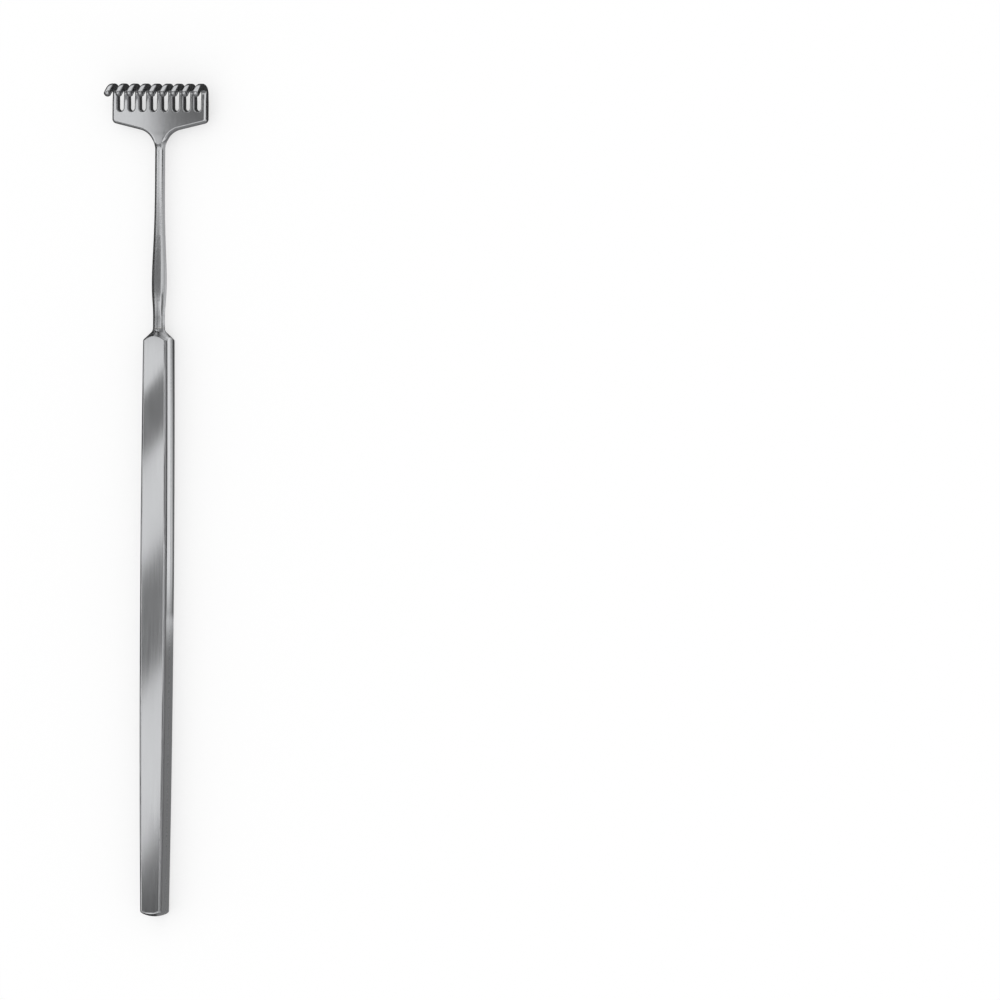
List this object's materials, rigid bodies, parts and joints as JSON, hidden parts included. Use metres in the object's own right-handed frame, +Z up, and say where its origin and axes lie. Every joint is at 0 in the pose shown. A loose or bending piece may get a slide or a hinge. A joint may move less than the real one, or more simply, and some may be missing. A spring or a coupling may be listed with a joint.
{
  "type": "hand-held rake retractor",
  "caption": "Hand-held surgical rake: a slotted steel head with blunt curled prongs on a slender shank, and a hollow four-sided handle with a domed end.",
  "frame": {"origin": "centre of the handle's flat back, on which the retractor lies, half way along the handle", "axes": "+Z up, the way the prongs curl; +Y along the handle towards the prongs; +X across the head, to the right when the prong tips point at the viewer with the head up"},
  "size_m": [0.0198, 0.16, 0.0073],
  "materials": {
    "head_steel": "satin",
    "shank_steel": "satin",
    "handle_steel": "satin",
    "inner_steel": "as turned",
    "silver_solder": "as cast"
  },
  "bodies": {
    "root": {"rake_head": "head_steel", "shank": "shank_steel", "neck_ferrule": "handle_steel", "handle_front_shell": "handle_steel", "handle_rear_shell": "handle_steel", "end_plug": "handle_steel", "tang_bush": "inner_steel", "tang_pin": "inner_steel", "spigot_solder": "silver_solder", "tang_solder": "silver_solder", "plug_solder": "silver_solder"}
  },
  "joints": []
}
